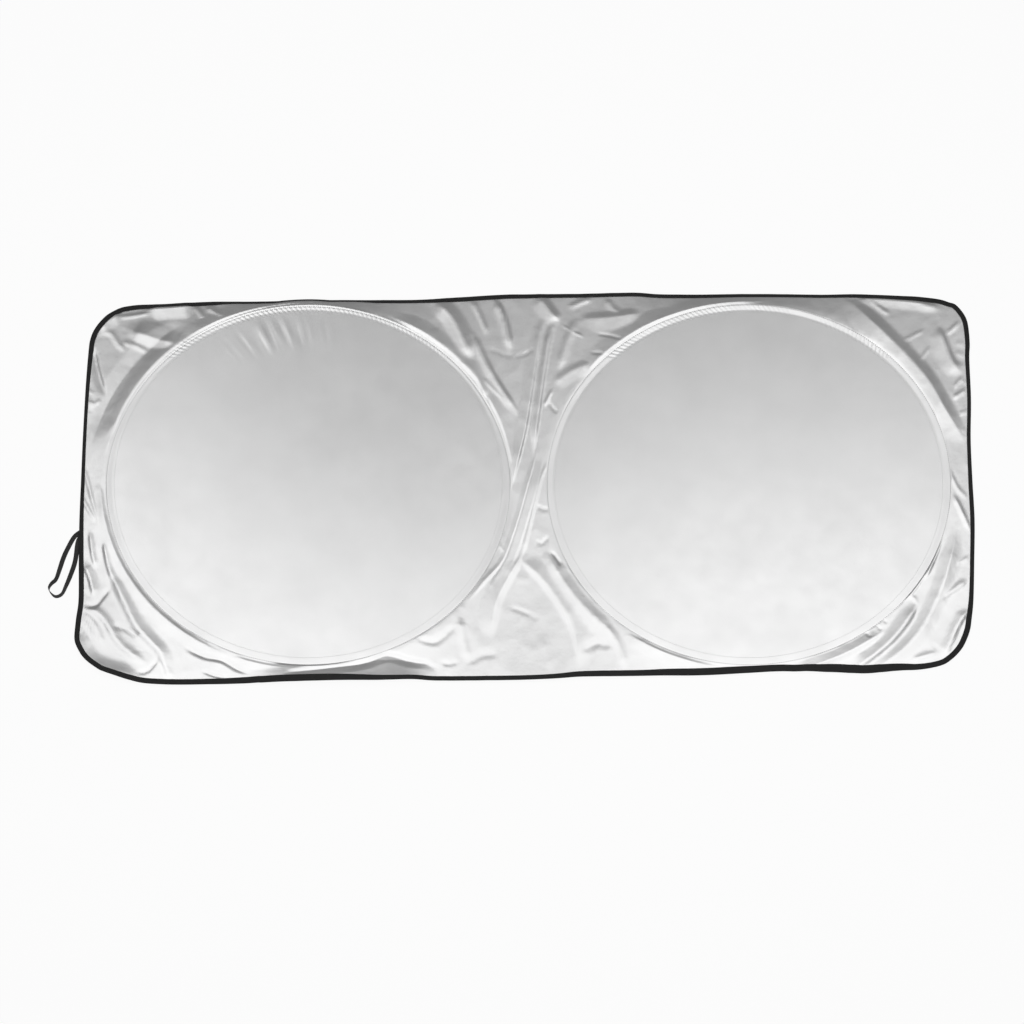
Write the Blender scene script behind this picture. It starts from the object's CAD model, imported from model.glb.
# %% [markdown]
# # A pop-up windscreen sunshade
#
# The real thing is one sheet of silver-coated taffeta. Two sprung steel hoops stand in round tunnels
# that are sewn into it, so it is drum tight inside the hoops and loose and creased outside them.
# Black tape is folded over its edge, and a loop of black elastic hangs from one end.
# The steel, its ferrules and the tapes under the tunnels come from the frame. The sheet, the edge tape,
# the elastic and the stitches are made here, because their look is all folds and thread.

# %% Load the frame
import math

import bmesh
import bpy
import numpy as np
from mathutils import Matrix, Vector, noise


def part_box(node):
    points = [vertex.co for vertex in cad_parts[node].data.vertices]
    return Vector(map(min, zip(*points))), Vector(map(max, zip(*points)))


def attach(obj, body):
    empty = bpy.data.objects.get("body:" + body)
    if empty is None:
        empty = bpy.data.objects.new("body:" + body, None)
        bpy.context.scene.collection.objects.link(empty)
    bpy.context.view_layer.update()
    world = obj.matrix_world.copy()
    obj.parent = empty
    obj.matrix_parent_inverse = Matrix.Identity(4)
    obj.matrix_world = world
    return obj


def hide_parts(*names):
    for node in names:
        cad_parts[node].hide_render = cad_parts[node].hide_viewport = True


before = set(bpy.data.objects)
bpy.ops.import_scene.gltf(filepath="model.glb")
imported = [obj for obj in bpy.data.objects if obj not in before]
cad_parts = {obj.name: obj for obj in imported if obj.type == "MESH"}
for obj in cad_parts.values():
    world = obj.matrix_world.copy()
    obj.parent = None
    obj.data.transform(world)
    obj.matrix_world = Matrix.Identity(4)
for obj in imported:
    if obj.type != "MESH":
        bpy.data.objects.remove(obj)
scene = bpy.context.scene
scene.view_settings.view_transform = "Standard"
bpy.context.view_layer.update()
print("frame pieces:", sorted(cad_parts))

# %% [markdown]
# ## Places and sizes
#
# Everything hangs on the two hoops, so their centres and their radius are read from the frame.
# The photograph was taken from the side of the lower edge, looking down at 63 degrees, from far away.
# At that angle a pixel is 1.67 mm across the picture, and on the table it is longer the other way,
# by the sine of 63 degrees. One function turns a place in the picture into a place on the table.

# %% Hoops, levels and the way from the picture to the table
MM = 0.001
STRIP_THICKNESS = 0.8 * MM
TUNNEL_WIDTH = 13 * MM
HOOP_LIFT = 4 * MM
EDGE_LEVEL = 2.4 * MM


def hoop_centre(node):
    """Middle of a hoop on the table."""
    low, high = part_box(node)
    return np.array([(low[0] + high[0]) / 2, (low[1] + high[1]) / 2])


hoops = {"left": hoop_centre("left_hoop"), "right": hoop_centre("right_hoop")}
hoop_low, hoop_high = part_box("left_hoop")
hoop_radius = (hoop_high[0] - hoop_low[0]) / 2 - STRIP_THICKNESS / 2
inner_stitch = hoop_radius - TUNNEL_WIDTH / 2
outer_stitch = hoop_radius + TUNNEL_WIDTH / 2
middle = (hoops["left"] + hoops["right"]) / 2 - np.array([0, HOOP_LIFT])

CAMERA_ELEVATION = math.radians(63)
PIXEL = 1.67 * MM
PICTURE_MIDDLE = 512
MIDDLE_PIXEL = (528.5, 488)


def on_table(pixel):
    """The place on the table that a pixel of the 1024 x 1024 picture shows."""
    across = (pixel[0] - MIDDLE_PIXEL[0]) * PIXEL
    up = (MIDDLE_PIXEL[1] - pixel[1]) * PIXEL / math.sin(CAMERA_ELEVATION)
    return middle + np.array([across, up])


def all_on_table(pixels):
    """The places of many pixels."""
    return np.array([on_table(pixel) for pixel in pixels])


print("hoop radius:", round(hoop_radius / MM, 1), "mm, middle:", (middle / MM).round(1))

# %% [markdown]
# ## Camera
#
# A long lens from far away gives the flat perspective of a catalogue picture.

# %% Camera at the photograph's angle
CAMERA_DISTANCE = 80.0


def add_camera():
    """Looks at the place on the table that lies in the middle of the picture."""
    data = bpy.data.cameras.new("camera")
    data.sensor_width = 36
    data.lens = data.sensor_width * CAMERA_DISTANCE / (2 * PICTURE_MIDDLE * PIXEL)
    data.clip_end = 200
    camera = bpy.data.objects.new("camera", data)
    scene.collection.objects.link(camera)
    back = Vector((0, -math.cos(CAMERA_ELEVATION), math.sin(CAMERA_ELEVATION)))
    target = Vector((*on_table((PICTURE_MIDDLE, PICTURE_MIDDLE)), 0))
    camera.location = target + back * CAMERA_DISTANCE
    camera.rotation_euler = (-back).to_track_quat("-Z", "Y").to_euler()
    scene.camera = camera


add_camera()

# %% [markdown]
# ## The outline
#
# The edge isn't a clean rounded rectangle: it sways where the cloth pulls at it. A smooth curve
# through a few dozen places, picked by eye along the edge in the picture, keeps that sway.
# Where the curve comes too near a tunnel it is pushed out, so that the edge tape has room.

# %% The edge of the cloth
LEFT_EDGE = [
    (528, 295), (500, 295.5), (460, 298), (420, 300.5), (380, 301), (340, 301), (300, 301.5),
    (260, 302.5), (220, 302.5), (200, 303), (180, 304), (160, 305), (140, 305.5), (130, 306.5),
    (120, 308.5), (110, 313.5), (102.5, 320), (94, 330), (90, 340), (88.5, 350), (86.5, 375), (85, 400),
    (83, 440), (81.5, 480), (80, 520), (79.5, 560), (79.5, 600), (77, 620), (75.5, 640), (79, 650),
    (87, 660), (100, 669.5), (110, 674.5), (120, 678), (130, 680.5), (145, 683), (160, 684),
    (180, 684.5), (220, 684), (260, 683), (300, 682.5), (340, 681), (380, 681), (420, 680.5),
    (460, 680.5), (500, 680), (528, 679.5),
]
RIGHT_EDGE = [
    (528, 679.5), (560, 678), (580, 676.5), (620, 676), (660, 675.5), (700, 675.5), (740, 673.5),
    (780, 671.5), (820, 672), (840, 672.5), (860, 673.5), (880, 672.5), (900, 670.5), (920, 669.5),
    (940, 665.5), (950, 660), (960, 650), (965.5, 640), (969, 630), (970.5, 620), (972.5, 600),
    (973.5, 560), (974, 520), (972, 480), (970.5, 440), (971, 400), (969.5, 360), (970, 345),
    (969, 330), (967, 320), (962.5, 312), (956, 305), (950, 303), (940, 300), (920, 297.5),
    (900, 296.5), (860, 295), (820, 295.5), (780, 295), (740, 295), (700, 295.5), (660, 295),
    (640, 293.5), (620, 293.5), (580, 294.5), (528, 295),
]
EDGE_STATIONS = 500
MIDDLE_STATIONS = 170
CURVE_STEPS = 24
LEAST_MARGIN = 11 * MM


def smooth_curve(points, count, ends=(None, None)):
    """Evenly spaced points of a Catmull-Rom curve through the given ones."""
    first = points[0] if ends[0] is None else ends[0]
    last = points[-1] if ends[1] is None else ends[1]
    knots = np.vstack([first, points, last])
    t = np.linspace(0, 1, CURVE_STEPS, endpoint=False)[:, None]
    spans = []
    for a, b, c, d in zip(knots, knots[1:], knots[2:], knots[3:]):
        bend = (2 * a - 5 * b + 4 * c - d) * t**2 + (3 * b - a - 3 * c + d) * t**3
        spans.append((2 * b + (c - a) * t + bend) / 2)
    fine = np.vstack([*spans, points[-1:]])
    run = np.concatenate([[0], np.cumsum(np.linalg.norm(np.diff(fine, axis=0), axis=1))])
    even = np.linspace(0, run[-1], count + 1)
    return np.column_stack([np.interp(even, run, fine[:, axis]) for axis in range(2)])


def clear_of_tunnels(points):
    """Pushes points out that lie too near a tunnel."""
    for centre in hoops.values():
        away = points - centre
        reach = np.linalg.norm(away, axis=1, keepdims=True)
        points = centre + away * np.maximum(1, (outer_stitch + LEAST_MARGIN) / reach)
    return points


def edge_half(pixels, before, after):
    """One half of the outline, counter-clockwise."""
    ends = (on_table(before), on_table(after))
    return clear_of_tunnels(smooth_curve(all_on_table(pixels), EDGE_STATIONS, ends))


left_edge = edge_half(LEFT_EDGE, RIGHT_EDGE[-2], RIGHT_EDGE[1])
right_edge = edge_half(RIGHT_EDGE, LEFT_EDGE[-2], LEFT_EDGE[1])
outline = np.vstack([left_edge[:-1], right_edge[:-1]])
print("outline:", len(outline), "stations,", (np.ptp(outline, axis=0) / MM).round(), "mm")

# %% [markdown]
# ## Folds of the loose cloth
#
# Coated taffeta creases into flat facets that meet in sharp lines. Each fold here is such a line, given
# by the places that it runs through in the picture. Its two sides fall away from it almost straight,
# each over its own reach, so a long gentle side and a short steep one make the facets that the cloth
# shows. A negative height is a valley. Drawing the folds by hand puts each one where it belongs. A cloth
# simulation alone would put them anywhere.

# %% The folds, corner by corner: places, reach on the left and on the right, and height, in mm
UPPER_LEFT_FOLDS = [
    ([(133, 333), (155, 340), (175, 345)], 30, 18, 3.0),
    ([(100, 333), (110, 334), (117, 344), (125, 353)], 6, 6, 1.3),
    ([(93, 350), (98, 374), (107, 402)], 6, 13, -2.2),
    ([(88, 392), (95, 396)], 3, 3, 1.0),
    ([(87, 402), (94, 405), (100, 400)], 4, 4, 1.2),
    ([(88, 410), (96, 412)], 3, 3, -1.0),
    ([(118, 318), (135, 316), (153, 312)], 4, 5, 1.4),
    ([(150, 309), (172, 308), (194, 306)], 4, 24, 3.6),
    ([(98, 330), (106, 320), (120, 314)], 4, 20, 2.6),
    ([(195, 308), (199, 314), (202, 320)], 5, 5, 1.2),
    ([(207, 308), (214, 313), (224, 318)], 10, 8, 1.5),
    ([(122, 343), (135, 347), (148, 353)], 6, 6, 0.9),
    ([(84, 470), (92, 500), (100, 530)], 6, 6, 1.2),
    ([(82, 498), (88, 510), (97, 524)], 5, 5, 1.3),
]
UPPER_RIGHT_FOLDS = [
    ([(856, 306), (872, 322), (899, 348), (921, 372), (933, 388), (944, 408), (966, 443)], 18, 34, 3.8),
    ([(960, 415), (969, 411)], 3, 3, 0.9),
    ([(958, 430), (968, 432)], 3, 3, 0.9),
    ([(961, 380), (968, 384)], 3, 3, 0.8),
    ([(866, 299), (890, 300), (920, 303), (944, 309)], 4, 18, 2.2),
    ([(904, 342), (914, 337), (925, 331)], 5, 5, 0.8),
    ([(919, 363), (925, 356), (930, 348)], 5, 5, 0.7),
    ([(940, 330), (946, 344), (951, 357), (957, 367), (965, 373)], 7, 26, 2.2),
    ([(948, 334), (954, 329), (961, 322)], 5, 5, 1.3),
    ([(957, 343), (966, 346)], 3, 3, 1.0),
    ([(957, 353), (966, 357)], 3, 3, 1.0),
    ([(956, 363), (966, 368)], 3, 3, 1.0),
    ([(954, 399), (960, 395), (967, 390)], 5, 5, 1.5),
    ([(955, 388), (963, 378)], 5, 4, 1.0),
    ([(870, 300), (880, 308), (890, 316)], 7, 7, 1.3),
]
UPPER_MIDDLE_FOLDS = [
    ([(438, 303), (453, 320), (463, 340), (472, 361)], 20, 22, 4.0),
    ([(472, 302), (480, 318), (488, 337)], 8, 5, 1.8),
    ([(497, 302), (504, 318), (509, 336), (511, 352)], 5, 14, 3.0),
    ([(540, 298), (550, 312), (559, 322)], 13, 22, 3.2),
    ([(590, 365), (577, 370), (566, 376), (553, 386)], 20, 12, 1.5),
    ([(546, 322), (541, 332), (536, 360), (530, 400), (525, 430), (518, 460), (510, 492)], 5, 16, 2.4),
    ([(556, 324), (551, 332), (545.5, 360), (540, 400), (536, 430), (533, 455)], 6, 10, 2.8),
    ([(473, 336), (488, 368), (503, 393), (520, 417)], 8, 15, 2.2),
    ([(489, 350), (502, 355), (515, 358)], 4, 4, -0.8),
    ([(516, 358), (525, 355), (535, 348)], 4, 4, -0.8),
    ([(456, 364), (468, 368), (478, 380), (487, 402)], 10, 8, 1.6),
    ([(483, 380), (495, 392), (508, 405)], 5, 6, 1.0),
    ([(570, 308), (580, 303), (592, 299)], 6, 7, 1.6),
    ([(607, 301), (613, 309), (621, 314)], 9, 8, 1.3),
    ([(585, 320), (612, 318), (641, 314)], 13, 26, 2.2),
    ([(598, 335), (610, 337), (623, 341)], 4, 4, -1.0),
    ([(592, 354), (604, 355)], 4, 4, -0.9),
    ([(575, 322), (566, 345), (558, 372)], 12, 10, 1.6),
    ([(564, 327), (573, 333), (584, 338)], 3, 3, 1.2),
    ([(549, 404), (553, 410), (558, 414)], 4, 4, -1.1),
    ([(552, 392), (548, 400), (544, 408)], 4, 4, 1.3),
]
WAIST_FOLDS = [
    (
        [(534, 464), (529, 482), (524, 500), (519, 518), (511, 542), (502, 564), (484, 584), (466, 606)],
        3, 8, 1.6,
    ),
    ([(546, 468), (541, 480), (536, 500), (531, 520), (525, 545), (519, 564)], 5, 9, 1.2),
    ([(516, 455), (513, 459), (510, 463)], 3, 3, 1.0),
    ([(552, 554), (557, 560), (561, 567)], 5, 5, -1.2),
    ([(537, 508), (545, 511), (552, 510)], 4, 4, -1.0),
    ([(536, 543), (542, 545), (549, 538)], 4, 4, -0.8),
    ([(497, 545), (503, 551), (506, 560)], 3, 3, 0.8),
]
LOWER_MIDDLE_FOLDS = [
    ([(524, 564), (543, 582), (563, 610), (575, 634), (580, 668)], 26, 9, 2.6),
    ([(520, 560), (506, 584), (496, 606), (490, 640)], 9, 26, 2.4),
    ([(511, 609), (525, 614), (540, 622)], 5, 5, -0.9),
    ([(583, 652), (597, 645), (611, 648)], 13, 12, -1.1),
    ([(604, 626), (618, 646), (625, 670)], 12, 10, 2.2),
    ([(420, 641), (437, 643), (456, 626)], 11, 8, -1.3),
    ([(461, 622), (464, 640), (469, 662)], 9, 12, 2.2),
    ([(443, 663), (449, 665), (458, 662)], 8, 7, -1.1),
    ([(262, 682), (300, 681), (340, 680), (380, 680), (410, 679), (437, 678)], 36, 4, 8.5),
    ([(290, 674), (340, 668), (366, 664), (388, 656), (410, 662), (430, 665), (439, 676)], 9, 14, -2.4),
    ([(470, 664), (482, 657), (497, 656)], 13, 9, -1.1),
    ([(540, 640), (548, 655), (552, 672)], 8, 8, 0.6),
]
LOWER_LEFT_FOLDS = [
    ([(113, 578), (124, 602), (136, 626), (150, 642), (162, 655), (170, 675)], 18, 12, 3.6),
    ([(84, 609), (97, 614), (108, 626), (117, 642), (131, 655), (148, 666)], 14, 8, 2.8),
    ([(83, 614), (92, 622), (98, 632), (104, 646)], 5, 4, 2.0),
    ([(82, 619), (88, 628), (95, 641)], 5, 4, 2.0),
    ([(80, 628), (86, 637), (92, 647)], 5, 4, 1.7),
    ([(85, 607), (95, 607), (103, 598), (110, 589)], 8, 6, -2.2),
    ([(76, 634), (82, 654), (95, 667), (114, 674), (140, 681)], 26, 4, 5.5),
    ([(140, 674), (149, 671), (158, 660)], 6, 5, -2.0),
    ([(160, 657), (166, 667), (170, 680)], 9, 6, 2.4),
    ([(84, 593), (91, 599)], 3, 3, -0.9),
    ([(83, 568), (90, 566)], 3, 3, -0.9),
    ([(84, 566), (90, 580), (94, 598)], 16, 5, 2.4),
    ([(131, 651), (150, 652)], 3, 3, -0.5),
    ([(104, 545), (108, 566), (114, 584)], 12, 6, 2.0),
    ([(90, 535), (92, 552), (96, 570)], 8, 5, 1.6),
    ([(188, 650), (206, 658), (222, 661), (238, 670), (250, 675)], 10, 7, -2.3),
    ([(204, 672), (214, 676), (226, 678)], 6, 4, -1.6),
    ([(114, 626), (126, 629), (140, 638)], 5, 9, -1.6),
]
LOWER_RIGHT_FOLDS = [
    ([(861, 629), (871, 639)], 3, 3, -1.2),
    ([(874, 624), (881, 632)], 3, 3, -1.0),
    ([(880, 617), (887, 625)], 3, 3, -1.0),
    ([(857, 668), (876, 655), (892, 641), (906, 624), (918, 604)], 22, 8, 4.0),
    ([(906, 600), (918, 584), (928, 566)], 13, 6, 3.0),
    ([(875, 670), (898, 655), (918, 635), (932, 611), (943, 585), (951, 558), (957, 530)], 20, 20, 3.6),
    ([(945, 656), (953, 637), (961, 621), (970, 609)], 16, 5, 2.8),
    ([(926, 578), (934, 560), (941, 540)], 10, 5, 2.2),
    ([(932, 644), (941, 654)], 3, 3, -0.8),
    ([(937, 603), (950, 594), (968, 581)], 12, 6, 2.0),
    ([(956, 566), (969, 558)], 5, 4, 1.2),
    ([(905, 596), (914, 600), (917, 608)], 5, 4, 1.0),
    ([(954, 498), (962, 514), (970, 532)], 7, 6, 1.5),
    ([(948, 470), (958, 490), (969, 500)], 6, 6, 1.0),
    ([(912, 661), (926, 657), (938, 654)], 12, 6, 1.8),
]
FOLDS = [
    *UPPER_LEFT_FOLDS, *UPPER_RIGHT_FOLDS, *UPPER_MIDDLE_FOLDS, *WAIST_FOLDS,
    *LOWER_MIDDLE_FOLDS, *LOWER_LEFT_FOLDS, *LOWER_RIGHT_FOLDS,
]
# Along a seam: hoop, first and last angle, distance outside it, reach outward and inward, height
SEAM_FOLDS = [
    ("left", 126, 170, 5, 20, 5, 1.2), ("left", 128, 168, 32, 24, 27, -3.0), ("left", 90, 130, 5, 22, 5, 1.4),
    ("left", 34, 66, 7, 22, 8, 2.0), ("left", 182, 246, 9, 20, 6, 1.8), ("left", 250, 278, 8, 14, 5, 1.0),
    ("left", 6, 30, 6, 16, 6, 1.2), ("right", 112, 143, 6, 24, 6, 2.2), ("right", 88, 118, 6, 18, 6, 1.4),
    ("right", 203, 232, 22, 25, 16, 3.0), ("right", -78, -50, 18, 10, 15, 2.7),
    ("right", 235, 262, 8, 20, 5, 1.0),
]
print("folds drawn by hand:", len(FOLDS), "in the picture and", len(SEAM_FOLDS), "along the seams")

# %% Distance to a line of points, its side, and the share of the line at the nearest point
def beside(places, line):
    """For each place: distance to the line, +1 on its left or -1 on its right, share of its length."""
    runs = np.diff(line, axis=0)
    lengths = np.linalg.norm(runs, axis=1)
    starts = np.concatenate([[0], np.cumsum(lengths)])
    nearest = np.full(len(places), np.inf)
    side = np.ones(len(places))
    share = np.zeros(len(places))
    for start, run, length, passed in zip(line, runs, lengths, starts):
        away = places - start
        held = np.clip(away @ run / length**2, 0, 1)
        distance = np.linalg.norm(away - held[:, None] * run, axis=1)
        closer = distance < nearest
        turn = run[0] * away[:, 1] - run[1] * away[:, 0]
        nearest[closer] = distance[closer]
        side[closer] = np.sign(turn[closer])
        share[closer] = ((passed + held * length) / starts[-1])[closer]
    return nearest, side, share


def smooth_step(share):
    """0 up to 0, 1 from 1 on, and a soft rise between them."""
    held = np.clip(share, 0, 1)
    return held * held * (3 - 2 * held)


# %% Height of the folds
FOLD_STEPS = 16
FOLD_END = 0.25
FOLD_HEAD = 0.4
FOLD_TAIL = 0.1
END_REACH = 0.55
FOLD_CURVE = 1.2
RIBBON = [(540, 455), (536, 475), (530, 500), (524, 520), (517, 543), (509, 564), (497, 584), (486, 606)]
RIBBON_HALF_WIDTH = 5.5 * MM
RIBBON_FLANK = 5 * MM
RIBBON_HEIGHT = 1.4 * MM


def one_fold(places, line, left, right, height):
    """Height that one fold adds at places near it. It fades and narrows toward its ends."""
    distance, side, share = beside(places, line)
    ends = smooth_step(share / FOLD_END + FOLD_HEAD) * smooth_step((1 - share) / FOLD_END + FOLD_TAIL)
    width = np.where(side > 0, left, right) * MM * (END_REACH + (1 - END_REACH) * ends)
    return height * MM * ends * np.clip(1 - distance / width, 0, 1) ** FOLD_CURVE


def seam_line(hoop, first, last, offset):
    """A line outside a hoop's outer stitches, between two angles in degrees."""
    angles = np.radians(np.linspace(first, last, FOLD_STEPS))
    away = np.column_stack([np.cos(angles), np.sin(angles)])
    return hoops[hoop] + away * (outer_stitch + offset * MM)


def drawn_lines():
    """Every fold as a line on the table with its reaches and height."""
    for pixels, left, right, height in FOLDS:
        yield smooth_curve(all_on_table(pixels), FOLD_STEPS), left, right, height
    for hoop, first, last, offset, outer, inner, height in SEAM_FOLDS:
        yield seam_line(hoop, first, last, offset), inner, outer, height


def ribbon_height(places):
    """The flat fold between the discs, where the fullness of both halves was pressed to one side."""
    distance, _, share = beside(places, smooth_curve(all_on_table(RIBBON), FOLD_STEPS))
    ends = smooth_step(share / FOLD_END) * smooth_step((1 - share) / FOLD_END)
    flank = smooth_step((RIBBON_HALF_WIDTH + RIBBON_FLANK - distance) / RIBBON_FLANK)
    return RIBBON_HEIGHT * ends * flank


def fold_height(places):
    """Height of the drawn folds. Where several cross, the highest or the deepest one rules."""
    ridges = ribbon_height(places) ** 3
    valleys = np.zeros(len(places))
    for line, left, right, height in drawn_lines():
        room = max(left, right) * MM
        near = np.all((places > line.min(axis=0) - room) & (places < line.max(axis=0) + room), axis=1)
        added = one_fold(places[near], line, left, right, height)
        if height > 0:
            ridges[near] += added**3
        else:
            valleys[near] += (-added) ** 3
    return np.cbrt(ridges) - np.cbrt(valleys)


# %% [markdown]
# ## Height of the whole sheet
#
# Inside a hoop the sheet is flat until just before the strip. From there it rises to the outer stitches,
# most on the far side of the hoop and hardly at all on the near side. Past them the loose cloth starts.
# It is fuller than the seam, so it puffs up within a few millimetres and then falls gently to the edge,
# with the folds and many small wrinkles on it. The stitches pull a narrow groove. This rise, the groove
# and the puff draw the bright and dark lines round each hoop in the picture.

# %% Levels of disc, tunnel and loose cloth
DISC_LEVEL = 5 * MM
RING_FOOT = 2.4 * MM
RING_STEP = 0.62 * MM
RING_TILT = 0.75 * MM
RING_CHANGE = 0.3
RING_PACE = 14
SEAM_SHIFT = {"left": 3.2 * MM, "right": 0}
STITCH_GROOVE = 0.2 * MM
GROOVE_HALF_WIDTH = 0.85 * MM
# Where the loose edge stands higher: a place in the picture, its reach and the lift, in mm
EDGE_LIFTS = [((550, 680), 260, 5.0), ((78, 620), 90, 2.4), ((140, 684), 110, 2.4)]


def slow_noise(places, pace, seed):
    """Smooth random change over the table, from about -1 to 1."""
    return np.array([noise.noise(Vector((x * pace, y * pace, seed))) for x, y in places])


def to_nearest_hoop(places):
    """Distance from the nearer hoop's centre, and how far toward the far side of it, -1 to 1."""
    away = np.array([places - centre for centre in hoops.values()])
    reach = np.linalg.norm(away, axis=2)
    nearer = np.argmin(reach, axis=0)
    each = np.arange(len(places))
    reach = reach[nearer, each]
    return reach, away[nearer, each, 1] / np.maximum(reach, 1 * MM)


def tunnel_level(places, reach, far):
    """Level of disc and tunnel. The step up to the outer stitches is higher on a hoop's far side."""
    foot = hoop_radius - RING_FOOT
    step = (RING_STEP + RING_TILT * far) * (1 + RING_CHANGE * slow_noise(places, RING_PACE, seed=3.3))
    return DISC_LEVEL + step * np.clip((reach - foot) / (outer_stitch - foot), 0, 1)


def stitched_radius(side, far):
    """Radius of the outer stitches: on the left hoop's far side they run a little further in."""
    return outer_stitch - SEAM_SHIFT[side] * smooth_step(2 * far)


def stitch_groove(places, reach, far):
    """Depth of the groove that the outer stitches pull."""
    on_left = places[:, 0] < middle[0]
    stitched = np.where(on_left, stitched_radius("left", far), stitched_radius("right", far))
    return STITCH_GROOVE * np.exp(-(((reach - stitched) / GROOVE_HALF_WIDTH) ** 2))


def edge_rise(places):
    """How far the loose cloth's edge stands off the table more than elsewhere."""
    rise = np.zeros(len(places))
    for pixel, radius, lift in EDGE_LIFTS:
        far = np.linalg.norm(places - on_table(pixel), axis=1) / (radius * MM)
        rise += lift * MM * (1 - smooth_step(far))
    return rise


# %% One function for the sheet's height
PUFF = 1.0 * MM
PUFF_RISE = 4 * MM
PUFF_FALL = 0.8
FULLNESS_CHANGE = 0.5
FULLNESS_PACE = 6
FULL_WIDTH = 50 * MM
LEAST_FULL = 0.15
FOLD_ROOM = 5 * MM
LEAST_ROOM = 0.2
WRINKLE = 0.35 * MM
WRINKLE_PACE = (24, 14)
# Ridged noise: roughness, step from octave to octave, octaves, offset and gain
WRINKLE_KIND = (0.9, 2.1, 3, 0.9, 1.6)


def wrinkle_height(places):
    """Small sharp wrinkles, longer up and down the picture than across it."""
    paced = [Vector((x, y, 0.3)) for x, y in places * WRINKLE_PACE]
    return np.array([noise.ridged_multi_fractal(point, *WRINKLE_KIND) for point in paced]) - 1.0


def puff_height(places, from_seam, width, share):
    """Height of the loose cloth's puff. Narrow strips of cloth have less of it."""
    fullness = 1 + FULLNESS_CHANGE * slow_noise(places, FULLNESS_PACE, seed=9.7)
    fullness *= smooth_step(width / FULL_WIDTH + LEAST_FULL)
    return PUFF * fullness * (1 - np.exp(-from_seam / PUFF_RISE)) * share**PUFF_FALL


def sheet_level(places):
    """Height of the silver sheet over the table at places on it."""
    reach, far = to_nearest_hoop(places)
    level = tunnel_level(places, reach, far)
    loose = reach > outer_stitch
    out = places[loose]
    from_seam = reach[loose] - outer_stitch
    from_edge, _, _ = beside(out, np.vstack([outline, outline[:1]]))
    width = from_edge + from_seam
    share = from_edge / width
    edge = EDGE_LEVEL + edge_rise(out)
    rest = edge + (level[loose] - edge) * share
    room = smooth_step(from_seam / FOLD_ROOM + LEAST_ROOM)
    folds = room * (fold_height(out) + WRINKLE * wrinkle_height(out))
    level[loose] = rest + puff_height(out, from_seam, width, share) + folds
    return level - stitch_groove(places, reach, far)


# %% [markdown]
# ## A grid rolled into shape
#
# The sheet must have its vertices along the round seams, or the tunnels would look like stairs.
# So each half starts as a flat grid of the right number of faces. Its columns are then laid out like
# spokes of a hoop, from the hoop's centre to the edge. Welding the halves makes one sheet.

# %% A flat grid whose points are moved to where a function says
def mesh_from(shape, name):
    """Turns a finished bmesh into a mesh."""
    mesh = bpy.data.meshes.new(name)
    shape.to_mesh(mesh)
    shape.free()
    return mesh


def rolled_grid(name, columns, rows, place, seam_map=None):
    """A grid of columns x rows faces. place(columns, rows) gives a point for each vertex."""
    flat = bmesh.new()
    bmesh.ops.create_grid(flat, x_segments=columns, y_segments=rows, size=0.5)
    mesh = mesh_from(flat, name)
    corners = np.empty(len(mesh.vertices) * 3)
    mesh.vertices.foreach_get("co", corners)
    corners = corners.reshape(-1, 3)
    column = np.rint((corners[:, 0] + 0.5) * columns).astype(int)
    row = np.rint((corners[:, 1] + 0.5) * rows).astype(int)
    mesh.vertices.foreach_set("co", place(column, row).ravel())
    if seam_map is not None:
        loops = np.empty(len(mesh.loops), dtype=int)
        mesh.loops.foreach_get("vertex_index", loops)
        layer = mesh.uv_layers.new(name="seam")
        layer.data.foreach_set("uv", seam_map(column, row)[loops].ravel())
    return mesh


def welded(mesh, distance=1e-6):
    """Merges the vertices that came to lie on one another."""
    joined = bmesh.new()
    joined.from_mesh(mesh)
    bmesh.ops.remove_doubles(joined, verts=joined.verts, dist=distance)
    bmesh.ops.dissolve_degenerate(joined, dist=1e-7, edges=joined.edges)
    joined.to_mesh(mesh)
    joined.free()
    return mesh


def new_piece(name, mesh, material):
    """An object at the origin that rides on the shade and has one finish."""
    piece = bpy.data.objects.new(name, mesh)
    scene.collection.objects.link(piece)
    mesh.materials.append(material)
    mesh.polygons.foreach_set("use_smooth", [True] * len(mesh.polygons))
    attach(piece, "root")
    faces = sum(len(face.vertices) - 2 for face in mesh.polygons)
    print(name, "has", faces, "triangles")
    return piece


# %% Width of the edge tape round the outline, and the cloth's own edge inside it
TAPE_WIDTH = 8 * MM
TAPE_OVERHANG = 1 * MM
TAPE_BLUR = 10 * MM
TAPE_FOCUS = 3
CLOTH_COVER = 0.6
# Places in the picture, each with the tape's width there as a share of TAPE_WIDTH
TAPE_SHARES = [
    ((110, 315), 1.15), ((190, 303), 0.95), ((250, 302), 0.5), ((300, 301), 0.2), ((345, 301), 0.35),
    ((390, 301), 0.75), ((470, 297), 1.05), ((600, 294), 0.9), ((800, 295), 0.72), ((935, 299), 1.05),
    ((970, 420), 0.8), ((973, 560), 0.9), ((955, 655), 1.2), ((850, 672), 1.9), ((780, 671), 1.5),
    ((700, 675), 1.6), ((620, 676), 1.3), ((520, 679), 1.0), ((440, 680), 1.0), ((300, 682), 1.5),
    ((160, 684), 1.2), ((76, 640), 1.1), ((83, 430), 0.75),
]


def outward_directions(points):
    """For a closed ring of points, counter-clockwise: the direction out of it at each one."""
    run = np.roll(points, -1, axis=0) - np.roll(points, 1, axis=0)
    out = np.column_stack([run[:, 1], -run[:, 0]])
    return out / np.linalg.norm(out, axis=1, keepdims=True)


def tape_widths():
    """Width at each station: the given places nearest to it weigh most."""
    total = np.zeros(len(outline))
    weight = np.zeros(len(outline))
    for pixel, share in TAPE_SHARES:
        near = 1 / (TAPE_BLUR + np.linalg.norm(outline - on_table(pixel), axis=1)) ** TAPE_FOCUS
        total += near * share
        weight += near
    return TAPE_WIDTH * total / weight


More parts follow.
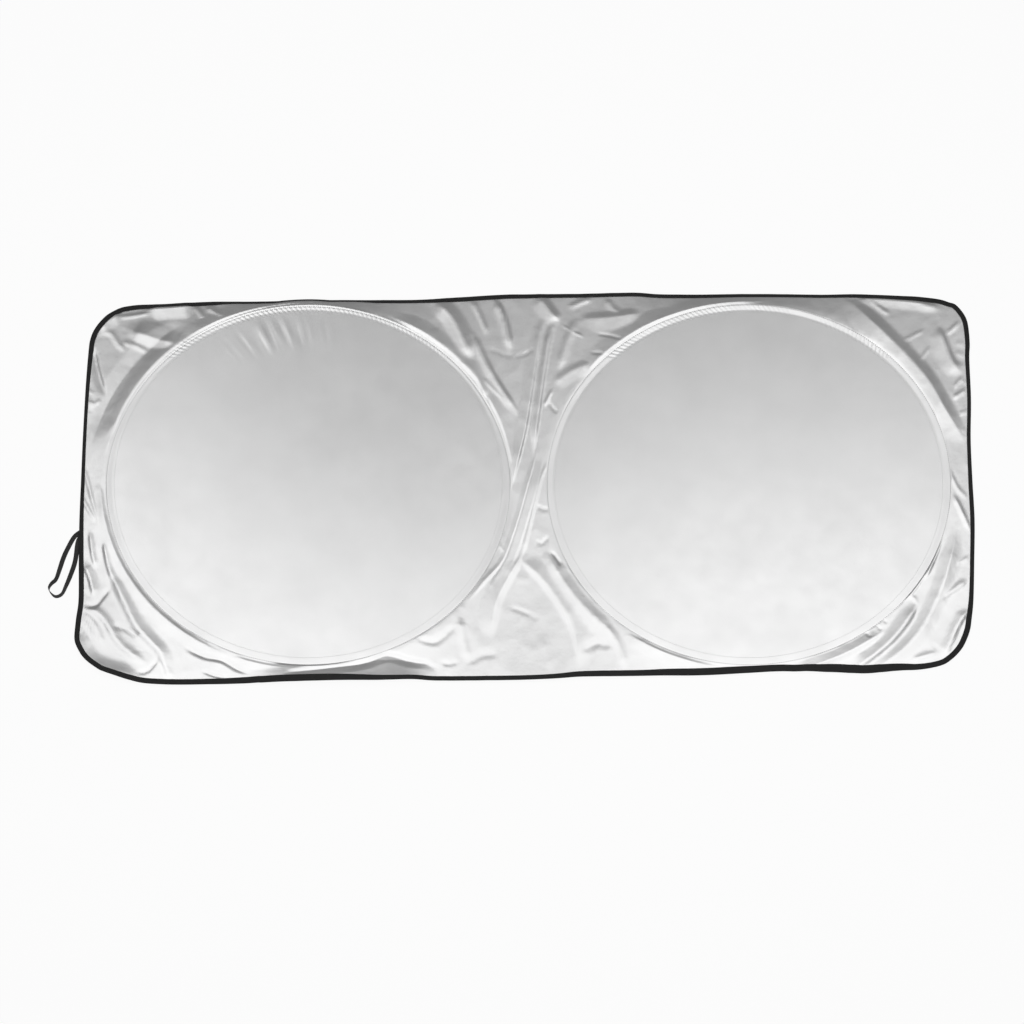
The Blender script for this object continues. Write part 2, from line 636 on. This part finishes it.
outline[:, 1] -= (edge_rise(outline) + fold_height(outline)) / math.tan(CAMERA_ELEVATION)
outward = outward_directions(outline)
tape_width = tape_widths()
cloth_edge = outline + outward * (TAPE_OVERHANG - CLOTH_COVER * tape_width)[:, None]
print("edge tape:", (tape_width.min() / MM).round(1), "to", (tape_width.max() / MM).round(1), "mm wide")

# %% The spokes of one half of the sheet
DISC_ROWS = 14
DISC_SPREAD = 0.8
LAST_DISC_ROW = inner_stitch - 2.5 * MM
# Rows of vertices across a tunnel, in mm from the middle line of the strip
TUNNEL_STEPS = [-5.2, -3.8, -2.4, -1.2, 0, 1.0, 1.8, 2.5, 3.2, 3.9, 4.6, 5.3, 5.9, 6.5]
LOOSE_ROWS = 38
LOOSE_SPREAD = 1.25
SHEET_ROWS = DISC_ROWS + len(TUNNEL_STEPS) + LOOSE_ROWS


def half_boundary(start):
    """Where the spokes of a half end: on its part of the edge, then on the middle line."""
    edge = np.roll(cloth_edge, -start, axis=0)[: EDGE_STATIONS + 1]
    edge[[0, -1], 0] = middle[0]
    back = np.linspace(edge[-1], edge[0], MIDDLE_STATIONS + 1)[1:]
    return np.vstack([edge, back])


def spoke_radii(reach):
    """Radius of each row on spokes of the given reach."""
    disc = LAST_DISC_ROW * np.linspace(0, 1, DISC_ROWS) ** DISC_SPREAD
    disc = np.append(disc, inner_stitch)
    tunnel = hoop_radius + np.array(TUNNEL_STEPS) * MM
    share = np.linspace(0, 1, LOOSE_ROWS + 1)[1:] ** LOOSE_SPREAD
    loose = outer_stitch + (reach[:, None] - outer_stitch) * share
    fixed = np.tile(np.concatenate([disc, tunnel]), (len(reach), 1))
    return np.hstack([fixed, loose])


def half_sheet(name, centre, start):
    """One half of the silver sheet as a mesh."""
    boundary = half_boundary(start)
    away = boundary - centre
    reach = np.linalg.norm(away, axis=1)
    direction = away / reach[:, None]
    radii = spoke_radii(reach)

    def place(column, row):
        places = centre + direction[column] * radii[column, row][:, None]
        last = row == SHEET_ROWS
        places[last] = boundary[column[last]]
        return np.column_stack([places, sheet_level(places)])

    def seam_map(column, row):
        angle = np.unwrap(np.arctan2(direction[:, 1], direction[:, 0]))
        return np.column_stack([angle[column] * hoop_radius, radii[column, row] - hoop_radius])

    return rolled_grid(name, len(boundary) - 1, SHEET_ROWS, place, seam_map)


# %% [markdown]
# ## Shader groups
#
# Woven goods share one effect: threads that cross. It is built once, as a node group, and placed in
# each material with its own thread spacing. A second group makes a slow, cloudy change between two
# values, for tones and roughness. Small helpers write the nodes that every group and material needs.

# %% Node helpers
NODE_STEP = 180
FLOAT = "NodeSocketFloat"
VECTOR = "NodeSocketVector"


def feed(tree, socket, value):
    """Gives an input its value: a constant, or another node's output to link."""
    if isinstance(value, bpy.types.NodeSocket):
        tree.links.new(value, socket)
    else:
        socket.default_value = value


def node(tree, kind, inputs=None, **settings):
    """A node to the right of those before it. inputs gives values by an input's name or number."""
    made = tree.nodes.new(kind)
    made.location = (NODE_STEP * len(tree.nodes), 0)
    for key, value in settings.items():
        setattr(made, key, value)
    for key, value in (inputs or {}).items():
        feed(tree, made.inputs[key], value)
    return made


def maths(tree, operation, *values):
    """The result of a Math node on outputs or numbers."""
    return node(tree, "ShaderNodeMath", dict(enumerate(values)), operation=operation).outputs[0]


def axes(tree, vector):
    """The x, y and z of a vector."""
    return node(tree, "ShaderNodeSeparateXYZ", {0: vector}).outputs


def noise_texture(tree, place, scale, detail):
    """The value of a noise texture."""
    return node(tree, "ShaderNodeTexNoise", {"Vector": place, "Scale": scale, "Detail": detail}).outputs[0]


def ramp(tree, value, first, last, low, high, kind="SMOOTHSTEP"):
    """Goes from low to high while value goes from first to last."""
    limits = {"Value": value, "From Min": first, "From Max": last, "To Min": low, "To Max": high}
    return node(tree, "ShaderNodeMapRange", limits, interpolation_type=kind).outputs["Result"]


def group_with(name, inputs, outputs):
    """An empty node group with named sockets. inputs and outputs map a name to a socket type."""
    group = bpy.data.node_groups.new(name, "ShaderNodeTree")
    for socket, kind in inputs.items():
        group.interface.new_socket(socket, in_out="INPUT", socket_type=kind)
    for socket, kind in outputs.items():
        group.interface.new_socket(socket, in_out="OUTPUT", socket_type=kind)
    return group, node(group, "NodeGroupInput").outputs, node(group, "NodeGroupOutput").inputs


def grouped(tree, group, **values):
    """Places a group and returns its first output. Values are constants, or outputs to link."""
    return node(tree, "ShaderNodeGroup", values, node_tree=group).outputs[0]


# %% Crossing threads
def weave_group():
    """Height of a plain weave, from 0 to 1, for a spacing in metres."""
    group, given, result = group_with("plain_weave", {"Place": VECTOR, "Spacing": FLOAT}, {"Height": FLOAT})
    place = axes(group, given["Place"])
    pace = maths(group, "DIVIDE", math.pi, given["Spacing"])
    waves = [maths(group, "SINE", maths(group, "MULTIPLY", place[axis], pace)) for axis in (0, 1)]
    crossing = maths(group, "MULTIPLY", *waves)
    lifted = maths(group, "MULTIPLY", crossing, 0.5)
    feed(group, result["Height"], maths(group, "ADD", lifted, 0.5))
    return group


plain_weave = weave_group()


# %% A cloudy change between two values
def cloud_group():
    """A slow noise stretched between a lowest and a highest value."""
    sockets = {"Place": VECTOR, "Scale": FLOAT, "Lowest": FLOAT, "Highest": FLOAT}
    group, given, result = group_with("cloud", sockets, {"Value": FLOAT})
    noisy = noise_texture(group, given["Place"], given["Scale"], 4)
    spread = ramp(group, noisy, 0.3, 0.7, given["Lowest"], given["Highest"], "LINEAR")
    feed(group, result["Value"], spread)
    return group


cloud = cloud_group()


def cloudy(tree, place, scale, lowest, highest):
    """The cloud group at work in a material."""
    return grouped(tree, cloud, Place=place, Scale=scale, Lowest=lowest, Highest=highest)


# %% What every material here starts and ends with
def new_material(name):
    """A material with its Principled BSDF and the Object coordinates."""
    material = bpy.data.materials.new(name)
    material.use_nodes = True
    tree = material.node_tree
    return material, tree, tree.nodes["Principled BSDF"], node(tree, "ShaderNodeTexCoord").outputs["Object"]


def bumped(tree, height, distance, strength=1.0, below=None):
    """The normal of a Bump node, which may lie over another one."""
    inputs = {"Height": height, "Distance": distance, "Strength": strength}
    if below is not None:
        inputs["Normal"] = below
    return node(tree, "ShaderNodeBump", inputs).outputs["Normal"]


def finish_with(tree, shader, tone, inputs):
    """Gives the shader a grey of the given tone, and its other inputs their values."""
    grey = node(tree, "ShaderNodeCombineColor", dict.fromkeys(("Red", "Green", "Blue"), tone))
    feed(tree, shader.inputs["Base Color"], grey.outputs[0])
    for key, value in inputs.items():
        feed(tree, shader.inputs[key], value)


# %% [markdown]
# ## Silver-coated taffeta
#
# A thin metal film on a plain weave: it reflects like brushed metal, with soft edges to each
# reflection. Metallic with a middling roughness gives that. The film is duller in a few worn patches,
# fine crinkles break up the reflections, and gathers run across the seam. Those follow the hoop, so
# they read the sheet's own map, in which one axis runs along the hoop and the other across it.

# %% How near a place is to a spot
def spot_group():
    """1 at the middle of a spot, fading to 0 at its radius."""
    sockets = {"Place": VECTOR, "Middle": VECTOR, "Radius": FLOAT}
    group, given, result = group_with("spot", sockets, {"Share": FLOAT})
    ends = {0: given["Place"], 1: given["Middle"]}
    away = node(group, "ShaderNodeVectorMath", ends, operation="DISTANCE").outputs["Value"]
    far = maths(group, "DIVIDE", away, given["Radius"])
    feed(group, result["Share"], ramp(group, far, 0, 1, 1, 0))
    return group


spot = spot_group()


def near_pixel(tree, place, pixel, radius):
    """How near a place is to the one that a pixel of the picture shows."""
    return grouped(tree, spot, Place=place, Middle=Vector((*on_table(pixel), 0)), Radius=radius)


# %% Gathers and needle marks along a seam
STITCH_PITCH = 3.6 * MM
GATHER_PITCH = 8.0 * MM
GATHER_SLANT = -0.7
GATHER_MIDDLE = 2.5 * MM
GATHER_REACH = 12 * MM
NEEDLE_REACH = 1.6 * MM
LOOSE_FROM = 5 * MM
LOOSE_TO = 12 * MM


def band(tree, across, middle, reach):
    """1 where across is at the middle, fading to 0 at the reach on both sides."""
    off = maths(tree, "ABSOLUTE", maths(tree, "SUBTRACT", across, middle))
    return ramp(tree, off, 0, reach, 1, 0)


def wave(tree, along, pitch):
    """A sine wave along a length."""
    return maths(tree, "SINE", maths(tree, "MULTIPLY", along, 2 * math.pi / pitch))


def slanted(tree, along, across, slant):
    """The length along a seam, turned so that what follows it runs at a slant."""
    return maths(tree, "ADD", along, maths(tree, "MULTIPLY", across, slant))


def seam_group():
    """Heights near a seam: slanting gathers, and the dimples that the needle leaves."""
    results = {"Gathers": FLOAT, "Dimples": FLOAT, "Loose": FLOAT}
    group, given, result = group_with("seam_marks", {"Seam": VECTOR}, results)
    along, across, _ = axes(group, given["Seam"])
    ripple = wave(group, slanted(group, along, across, GATHER_SLANT), GATHER_PITCH)
    held = band(group, across, GATHER_MIDDLE, GATHER_REACH)
    feed(group, result["Gathers"], maths(group, "MULTIPLY", ripple, held))
    sewn = band(group, across, TUNNEL_WIDTH / 2, NEEDLE_REACH)
    beat = maths(group, "ADD", wave(group, along, STITCH_PITCH), 1.0)
    feed(group, result["Dimples"], maths(group, "MULTIPLY", sewn, beat))
    feed(group, result["Loose"], ramp(group, across, LOOSE_FROM, LOOSE_TO, 0, 1))
    return group


seam_marks = seam_group()

# %% Wrinkles that the top seam pulls into the left disc
PULL_MIDDLE = -46 * MM
PULL_REACH = 44 * MM
PULL_SLANT = -0.2
PULL_PACE = (48, 5)
PULL_PIXEL = (280, 325)


def pull_wrinkles(tree, place, seam):
    """Height of soft slanting wrinkles that hang from the top seam of the left disc."""
    along, across, _ = axes(tree, seam)
    turned = maths(tree, "MULTIPLY", slanted(tree, along, across, PULL_SLANT), PULL_PACE[0])
    paced = {0: turned, 1: maths(tree, "MULTIPLY", across, PULL_PACE[1])}
    stretched = node(tree, "ShaderNodeCombineXYZ", paced).outputs[0]
    ripple = maths(tree, "SUBTRACT", noise_texture(tree, stretched, 1, 1), 0.5)
    near = near_pixel(tree, place, PULL_PIXEL, 0.13)
    held = maths(tree, "MULTIPLY", band(tree, across, PULL_MIDDLE, PULL_REACH), near)
    return maths(tree, "MULTIPLY", ripple, held)


# %% Where the film is duller: a place in the picture, a radius in metres and the share of tone lost
DULL_PATCHES = [((545, 650), 0.24, 0.09), ((100, 625), 0.12, 0.12), ((125, 350), 0.26, 0.11)]


def dulled(tree, tone, place, loose):
    """Lets the film be a little duller where the loose cloth is rubbed most."""
    for pixel, radius, loss in DULL_PATCHES:
        worn = maths(tree, "MULTIPLY", near_pixel(tree, place, pixel, radius), loose)
        left = maths(tree, "MULTIPLY_ADD", worn, -loss, 1)
        tone = maths(tree, "MULTIPLY", tone, left)
    return tone


# %% The silver finish
DISC_CRINKLE = 0.2
GATHERS_FROM = 0.72


def sewn_normal(tree, place, seam, marks, normal):
    """Crinkles, gathers, needle marks and pulled wrinkles over the weave's normal."""
    held = maths(tree, "MULTIPLY", marks["Loose"], 1 - DISC_CRINKLE)
    held = maths(tree, "ADD", held, DISC_CRINKLE)
    crinkle = maths(tree, "MULTIPLY", noise_texture(tree, place, 45, 3), held)
    normal = bumped(tree, crinkle, 0.4 * MM, 1.0, normal)
    far_side = hoops["left"][1] + GATHERS_FROM * hoop_radius
    gathered = maths(tree, "GREATER_THAN", axes(tree, place)[1], far_side)
    swell = maths(tree, "MULTIPLY", cloudy(tree, place, 11.0, 0.1, 1.0), gathered)
    gathers = maths(tree, "MULTIPLY", marks["Gathers"], swell)
    normal = bumped(tree, gathers, 0.16 * MM, 1.0, normal)
    normal = bumped(tree, marks["Dimples"], -0.08 * MM, 1.0, normal)
    return bumped(tree, pull_wrinkles(tree, place, seam), 3.0 * MM, 1.0, normal)


def silver_material(name, sewn):
    """Metal film over a plain weave, with or without the marks of the sewn sheet."""
    material, tree, shader, place = new_material(name)
    tone = cloudy(tree, place, 9.0, 0.77, 0.82)
    rough = cloudy(tree, place, 30.0, 0.28, 0.34)
    threads = grouped(tree, plain_weave, Place=place, Spacing=0.45 * MM)
    normal = bumped(tree, threads, 0.01 * MM, 0.6)
    if sewn:
        seam = node(tree, "ShaderNodeUVMap", uv_map="seam").outputs[0]
        marks = node(tree, "ShaderNodeGroup", {"Seam": seam}, node_tree=seam_marks).outputs
        tone = dulled(tree, tone, place, marks["Loose"])
        normal = sewn_normal(tree, place, seam, marks, normal)
    finish_with(tree, shader, tone, {"Metallic": 0.9, "Roughness": rough, "Normal": normal})
    return material


silver = silver_material("silver_taffeta", sewn=True)
silver_tape = silver_material("silver_tunnel_tape", sewn=False)
print("silver finishes:", silver.name, "and", silver_tape.name)


def silver_sheet():
    """Both halves welded into one sheet, which stands for the frame's plain one."""
    whole = bmesh.new()
    for name, centre, start in (
        ("left_half", hoops["left"], 0),
        ("right_half", hoops["right"], EDGE_STATIONS),
    ):
        part = half_sheet(name, centre, start)
        whole.from_mesh(part)
        bpy.data.meshes.remove(part)
    mesh = welded(mesh_from(whole, "silver_sheet"))
    piece = new_piece("silver_sheet", mesh, silver)
    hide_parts("silver_panel")
    return piece


sheet = silver_sheet()
print("sheet size:", [round(side / MM) for side in sheet.dimensions], "mm")

# %% [markdown]
# ## Black edge tape
#
# The edge is bound: a woven tape is folded over it and sewn through. It is a little wider in some
# places than in others, where the fold slips outward, and it hangs down slightly toward its fold.
# A rolled grid carries a flat oval section round the outline.

# %% The binding
TAPE_HALF_THICKNESS = 0.9 * MM
SWELL_CHANGE = 0.25
TAPE_DROOP = math.radians(9)
DROOP_CHANGE = 0.8
TAPE_ROWS = 16
TAPE_GAP = 0.5 * MM
TAPE_HANG = 0.35
LEAST_LEVEL = 0.05 * MM
OVAL = 0.6


def tape_material(name, spacing, tone, roughness):
    """Matt black woven tape."""
    material, tree, shader, place = new_material(name)
    threads = grouped(tree, plain_weave, Place=place, Spacing=spacing)
    normal = bumped(tree, threads, 0.12 * MM, 0.8)
    inputs = {"Roughness": roughness, "Sheen Weight": 0.04, "Normal": normal}
    finish_with(tree, shader, cloudy(tree, place, 40.0, tone * 0.8, tone * 1.4), inputs)
    return material


def sway(count, pace, seed):
    """Slow random change round a closed ring, from -1 to 1."""
    turns = np.linspace(0, 2 * math.pi, count, endpoint=False)
    points = [Vector((pace * math.cos(turn), pace * math.sin(turn), seed)) for turn in turns]
    return np.array([noise.noise(point) for point in points])


edge_level = sheet_level(cloth_edge)
tape_slope = TAPE_DROOP * (1 + DROOP_CHANGE * sway(len(outline), pace=7, seed=4.5))
tape_swell = 1 + SWELL_CHANGE * sway(len(outline), pace=40, seed=7.5)


def on_tape(station, inset, lift):
    """A place on the folded tape: inset from its outer fold and lifted off its middle layer."""
    hang = TAPE_HANG * tape_width[station]
    slope = tape_slope[station]
    slide = hang - inset
    out = TAPE_OVERHANG - hang + slide * np.cos(slope) + lift * np.sin(slope)
    places = outline[station] + outward[station] * out[:, None]
    level = edge_level[station] + TAPE_GAP - slide * np.sin(slope) + lift * np.cos(slope)
    return np.column_stack([places, np.maximum(level, LEAST_LEVEL)])


def edge_tape():
    """The tape as a closed ring, which stands for the frame's binding."""
    count = len(outline)

    def place(column, row):
        station = column % count
        turn = 2 * math.pi * row / TAPE_ROWS
        inset = tape_width[station] * (1 - np.cos(turn)) / 2
        lift = TAPE_HALF_THICKNESS * tape_swell[station] * np.sign(np.sin(turn))
        return on_tape(station, inset, lift * np.abs(np.sin(turn)) ** OVAL)

    mesh = welded(rolled_grid("edge_tape", count, TAPE_ROWS, place))
    finish = tape_material("black_edge_tape", 0.6 * MM, 0.006, 0.8)
    piece = new_piece("edge_tape", mesh, finish)
    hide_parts("edge_binding")


edge_tape()

# %% [markdown]
# ## Stitches
#
# Two rows of stitches hold every hoop, the inner one in silver thread and the outer one in grey, and a
# row in black thread runs round the edge tape. One stitch is a short five-sided thread whose ends dive
# into the cloth. It is turned into place and copied along each row: far cheaper than a true lockstitch,
# and at this size it looks the same.

# %% One stitch, and a row of them
THREAD_RADIUS = 0.4 * MM
STITCH_LENGTH = 2.1 * MM
STITCH_DIVE = 1.6 * THREAD_RADIUS


def stitch_shape():
    """A thread along x whose ends bend down."""
    shape = bmesh.new()
    bmesh.ops.create_cone(
        shape,
        cap_ends=True,
        segments=5,
        radius1=THREAD_RADIUS,
        radius2=THREAD_RADIUS,
        depth=STITCH_LENGTH,
        matrix=Matrix.Rotation(math.pi / 2, 4, "Y"),
    )
    runs = {edge: abs(edge.verts[0].co.x - edge.verts[1].co.x) for edge in shape.edges}
    long_edges = [edge for edge, run in runs.items() if run > THREAD_RADIUS]
    bmesh.ops.subdivide_edges(shape, edges=long_edges, cuts=2)
    for vertex in shape.verts:
        if abs(vertex.co.x) > STITCH_LENGTH / 3:
            vertex.co.z -= STITCH_DIVE
    return mesh_from(shape, "stitch")


def sewn_row(name, finish, places, directions):
    """One piece with a copy of the stitch at each place, along its direction."""
    row = bmesh.new()
    stitch = stitch_shape()
    for place, direction in zip(places, directions):
        turn = Matrix.Rotation(math.atan2(direction[1], direction[0]), 4, "Z")
        put = Matrix.Translation(Vector(place)) @ turn
        stitch.transform(put)
        row.from_mesh(stitch)
        stitch.transform(put.inverted())
    new_piece(name, mesh_from(row, name), finish)


def thread_material(name, tone):
    """Twisted thread."""
    material, tree, shader, place = new_material(name)
    twist = grouped(tree, plain_weave, Place=place, Spacing=0.25 * MM)
    inputs = {"Roughness": 0.6, "Normal": bumped(tree, twist, 0.05 * MM, 0.8)}
    finish_with(tree, shader, cloudy(tree, place, 60.0, tone * 0.85, tone), inputs)
    return material


# %% Rows of stitches along the tunnels
THREAD_LIFT = 0.6 * THREAD_RADIUS


def tunnel_stitches(side, row, finish):
    """The inner or the outer row of stitches round one hoop."""
    count = round(2 * math.pi * inner_stitch / STITCH_PITCH)
    angles = np.linspace(0, 2 * math.pi, count, endpoint=False)
    away = np.column_stack([np.cos(angles), np.sin(angles)])
    radius = stitched_radius(side, away[:, 1]) if row == "outer" else np.full(count, inner_stitch)
    places = hoops[side] + away * radius[:, None]
    places = np.column_stack([places, sheet_level(places) + THREAD_LIFT])
    directions = np.column_stack([-away[:, 1], away[:, 0]])
    sewn_row(side + "_" + row + "_stitches", finish, places, directions)


grey_thread = thread_material("grey_thread", 0.3)
silver_thread = thread_material("silver_thread", 0.78)
for side in hoops:
    tunnel_stitches(side, "outer", grey_thread)
    tunnel_stitches(side, "inner", silver_thread)

# %% A row of stitches round the edge tape
STITCHED_SHARE = 0.7


def edge_stitches():
    """Black thread, near the inner edge of the tape."""
    run = np.linalg.norm(np.roll(outline, -1, axis=0) - outline, axis=1)
    ring = np.concatenate([[0], np.cumsum(run)])
    count = round(ring[-1] / STITCH_PITCH)
    at = np.interp(np.arange(count) * ring[-1] / count, ring, np.arange(len(ring)))
    nearest = np.floor(at).astype(int) % len(outline)
    following = (nearest + 1) % len(outline)
    every_station = np.arange(len(outline))
    top = on_tape(every_station, STITCHED_SHARE * tape_width, TAPE_HALF_THICKNESS * tape_swell)
    share = (at - np.floor(at))[:, None]
    places = top[nearest] * (1 - share) + top[following] * share
    directions = outline[following] - outline[nearest]
    sewn_row("edge_stitches", thread_material("black_thread", 0.02), places, directions)


edge_stitches()

# %% [markdown]
# ## Elastic loop
#
# A loop of flat elastic is sewn under the tape at the left end and goes round the folded shade.
# It starts flat, stands on its edge round the bend and lies down again, as the frame's strap does.
# Its route repeats the frame's, but here its ends lie partly one on the other, as in the picture.
# A rolled grid again gives even faces along the run for the ribs.

# %% The elastic
STRAP_WIDTH = 8 * MM
STRAP_THICKNESS = 1 * MM
STRAP_STEPS = 150
STRAP_FLAT_SHARE = 0.12
STRAP_ROWS = 12
STRAP_CORNER = 0.35
STRAP_SEWN = np.array([-719.0, -82.9]) * MM
STRAP_ROUTE = [
    (6, 1), (0, 0), (-11, -10), (-22, -32), (-29, -50), (-35, -71), (-41, -90), (-49, -99), (-53, -108),
    (-49, -117), (-41, -123), (-31, -118), (-24, -102), (-18.5, -87), (-11.5, -65), (-8.5, -51),
    (-7, -39), (-6, -28), (-4, -17), (0, -9), (6, -4),
]


def strap_section(row):
    """Across and through a flat band with rounded edges, each from -0.5 to 0.5."""
    turn = 2 * math.pi * row / STRAP_ROWS
    parts = (np.cos(turn), np.sin(turn))
    across, through = (np.sign(part) * np.abs(part) ** STRAP_CORNER / 2 for part in parts)
    return across, through


def elastic_loop():
    """The elastic along its route, which stands for the frame's strap."""
    run = smooth_curve(STRAP_SEWN + np.array(STRAP_ROUTE) * MM, STRAP_STEPS)
    ahead = np.gradient(run, axis=0)
    ahead /= np.linalg.norm(ahead, axis=1, keepdims=True)
    side = np.column_stack([-ahead[:, 1], ahead[:, 0], np.zeros(len(run))])
    share = np.linspace(0, 1, len(run))
    roll = math.pi * smooth_step((share - STRAP_FLAT_SHARE) / (1 - 2 * STRAP_FLAT_SHARE))
    up = np.array([0, 0, 1])
    width = side * np.cos(roll)[:, None] - up * np.sin(roll)[:, None]
    face = side * np.sin(roll)[:, None] + up * np.cos(roll)[:, None]
    rise = np.abs(np.sin(roll)) * STRAP_WIDTH / 2 + np.abs(np.cos(roll)) * STRAP_THICKNESS / 2
    rise += STRAP_THICKNESS * smooth_step((share - 1) / STRAP_FLAT_SHARE + 1)

    def place(column, row):
        across, through = strap_section(row)
        along = np.column_stack([run[column], rise[column]])
        along += width[column] * (across * STRAP_WIDTH)[:, None]
        return along + face[column] * (through * STRAP_THICKNESS)[:, None]

    mesh = welded(rolled_grid("elastic_loop", STRAP_STEPS, STRAP_ROWS, place))
    finish = tape_material("black_elastic", 1.0 * MM, 0.014, 0.75)
    piece = new_piece("elastic_loop", mesh, finish)
    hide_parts("retaining_strap")


elastic_loop()

# %% [markdown]
# ## Floor and light
#
# A white floor fills the picture. Soft panels hang side by side over the shade. Seen from the camera,
# the near part of the silver mirrors them and the far part mirrors the dimmer room behind them, which
# makes the sheet grey at the top of the picture and bright at the bottom. Each panel ends at its own
# distance, so that the tone changes from left to right as it does in the picture. A dim panel further
# back keeps the far part from going dark, and a low one in front is there for views from behind.

# %% The floor
FLOOR_SIZE = 20
FLOOR_DROP = 0.3 * MM
FLOOR_GLOW = 0.93


def floor_material():
    """White to the camera and in reflections, and a plain matt white to every other ray."""
    material = bpy.data.materials.new("floor_white")
    material.use_nodes = True
    tree = material.node_tree
    shader = tree.nodes["Principled BSDF"]
    shader.inputs["Base Color"].default_value = (0.9, 0.9, 0.9, 1)
    shader.inputs["Roughness"].default_value = 0.9
    glow = node(tree, "ShaderNodeEmission", {"Color": (1, 1, 1, 1)})
    rays = node(tree, "ShaderNodeLightPath").outputs
    seen = maths(tree, "MAXIMUM", rays["Is Camera Ray"], rays["Is Glossy Ray"])
    seen = maths(tree, "MAXIMUM", seen, rays["Is Transmission Ray"])
    share = maths(tree, "MULTIPLY", seen, FLOOR_GLOW)
    mixed = node(tree, "ShaderNodeMixShader", {0: share, 1: shader.outputs[0], 2: glow.outputs[0]})
    feed(tree, tree.nodes["Material Output"].inputs["Surface"], mixed.outputs[0])
    return material


def white_floor():
    """A plane under the shade that still takes its soft shadow."""
    flat = bmesh.new()
    bmesh.ops.create_grid(flat, x_segments=1, y_segments=1, size=FLOOR_SIZE)
    floor = bpy.data.objects.new("floor", mesh_from(flat, "floor"))
    floor.location.z = -FLOOR_DROP
    scene.collection.objects.link(floor)
    floor.data.materials.append(floor_material())


white_floor()


# %% Lamps and the room
PANEL_HEIGHT = 1.6
PANEL_FRONT = -1.0
PANEL_BRIGHTNESS = 1.17
# Left, right and back edge of each panel, in metres
SOFTBOXES = {
    "left_softbox": (-1.6, -0.5, 0.96),
    "left_middle_softbox": (-0.5, -0.22, 0.735),
    "middle_softbox": (-0.22, 0.12, 0.68),
    "right_softbox": (0.12, 1.6, 0.85),
}


def soft_lamp(name, place, aim, size, watts):
    """A rectangular area lamp at a place, turned toward another."""
    data = bpy.data.lights.new(name, "AREA")
    data.shape = "RECTANGLE"
    data.size, data.size_y = size
    data.energy = watts
    lamp = bpy.data.objects.new(name, data)
    scene.collection.objects.link(lamp)
    lamp.location = place
    lamp.visible_camera = False
    lamp.rotation_euler = (Vector(aim) - Vector(place)).to_track_quat("-Z", "Y").to_euler()


def ceiling_panel(name, low, high, brightness):
    """A soft panel between two corners that faces the floor. Its watts follow from its size."""
    size = (high[0] - low[0], high[1] - low[1])
    place = ((low[0] + high[0]) / 2, (low[1] + high[1]) / 2, PANEL_HEIGHT)
    soft_lamp(name, place, (*place[:2], 0), size, brightness * math.pi * size[0] * size[1])


def room_light(strength):
    """An even grey room."""
    world = bpy.data.worlds.new("room")
    scene.world = world
    world.use_nodes = True
    background = world.node_tree.nodes["Background"]
    background.inputs["Color"].default_value = (1, 1, 1, 1)
    background.inputs["Strength"].default_value = strength


room_light(0.2)
for name, (left, right, back) in SOFTBOXES.items():
    ceiling_panel(name, (left, PANEL_FRONT), (right, back), PANEL_BRIGHTNESS)
ceiling_panel("back_softbox", (-1.8, 0.85), (1.8, 1.45), 0.34)
soft_lamp("front_panel", (0, -6.5, 2.0), (0, 0, 0.2), (17, 3.6), 125)
print("panels over the shade:", len(SOFTBOXES) + 1)

# %% [markdown]
# ## Spring steel inside the tunnels
#
# The hoops and their ferrules lie hidden in the tunnels and show only where the shade is taken apart.
# Cold-rolled strip is grey with fine marks, so a cloudy tone and a roughness that changes fast will do.

# %% Steel, and which frame parts get which finish
def steel_material(name, darkest, brightest):
    """Rolled steel: metal with a cloudy tone and fine changes in its polish."""
    material, tree, shader, place = new_material(name)
    inputs = {"Metallic": 1, "Roughness": cloudy(tree, place, 600.0, 0.25, 0.42)}
    finish_with(tree, shader, cloudy(tree, place, 70.0, darkest, brightest), inputs)
    return material


hoop_steel = steel_material("spring_steel", 0.28, 0.36)
ferrule_steel = steel_material("ferrule_steel", 0.5, 0.58)
FRAME_FINISHES = {"_tunnel_tape": silver_tape, "_hoop": hoop_steel, "_hoop_ferrule": ferrule_steel}
for side in hoops:
    for ending, finish in FRAME_FINISHES.items():
        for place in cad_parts[side + ending].material_slots:
            place.material = finish
print("frame parts finished:", [side + ending for side in hoops for ending in FRAME_FINISHES])
